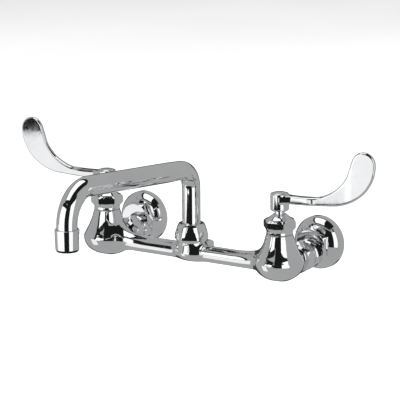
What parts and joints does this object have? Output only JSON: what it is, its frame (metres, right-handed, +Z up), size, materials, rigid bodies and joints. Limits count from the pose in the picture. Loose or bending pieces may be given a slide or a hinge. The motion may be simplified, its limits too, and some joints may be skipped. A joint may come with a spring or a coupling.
{
  "type": "wall mounted sink faucet with swing spout",
  "caption": "Chrome wall-mounted kitchen sink faucet: straight bar body on two eccentric wall flanges, swinging tubular spout with aerator, and two wrist-blade handles on quarter-turn valves.",
  "frame": {"origin": "on the wall plane, midway between the two inlets, at the height of the body's bar and of the valves' inlet axes", "axes": "+X to the right for the person at the sink (cold side), +Y into the wall, +Z up"},
  "size_m": [0.3969, 0.2832, 0.1343],
  "materials": {
    "chrome": "bright chrome plate on brass",
    "brass": "machined brass",
    "stainless_steel": "plain stainless steel",
    "rubber": "black nitrile rubber",
    "ceramic": "lapped alumina",
    "white_plastic": "moulded acetal",
    "button_face": "smooth grey button"
  },
  "bodies": {
    "body": {"valve_body": "chrome", "left_inlet_flange": "chrome", "left_inlet_washer": "rubber", "left_inlet_snap_ring": "stainless_steel", "left_coupling_nut": "chrome", "left_bonnet_nut": "chrome", "left_cartridge_housing": "brass", "left_fixed_disc": "ceramic", "left_seat_seal": "rubber", "right_inlet_flange": "chrome", "right_inlet_washer": "rubber", "right_inlet_snap_ring": "stainless_steel", "right_coupling_nut": "chrome", "right_bonnet_nut": "chrome", "right_cartridge_housing": "brass", "right_fixed_disc": "ceramic", "right_seat_seal": "rubber", "spout_nut": "chrome", "thrust_washer": "white_plastic"},
    "spout": {"spout_tube": "chrome", "swivel_sleeve": "brass", "spout_o_ring_lower": "rubber", "spout_o_ring_upper": "rubber", "aerator_shell": "chrome", "aerator_insert": "white_plastic", "aerator_washer": "rubber"},
    "left_valve": {"left_stem": "brass", "left_stem_o_ring": "rubber", "left_stem_clip": "stainless_steel", "left_turning_disc": "ceramic", "left_handle": "chrome", "left_handle_screw": "stainless_steel", "left_index_button": "button_face"},
    "right_valve": {"right_stem": "brass", "right_stem_o_ring": "rubber", "right_stem_clip": "stainless_steel", "right_turning_disc": "ceramic", "right_handle": "chrome", "right_handle_screw": "stainless_steel", "right_index_button": "button_face"}
  },
  "joints": [
    {"name": "spout_swing", "type": "hinge", "parent": "body", "child": "spout", "pos_m": [0, -0.0718, 0.016], "axis": [0, 0, 1], "range_deg": [-36, 36]},
    {"name": "left_handle_turn", "type": "hinge", "parent": "body", "child": "left_valve", "pos_m": [-0.1016, -0.0718, 0.06], "axis": [0, 0, 1], "range_deg": [0, 90]},
    {"name": "right_handle_turn", "type": "hinge", "parent": "body", "child": "right_valve", "pos_m": [0.1016, -0.0718, 0.06], "axis": [0, 0, 1], "range_deg": [-90, 0]}
  ]
}
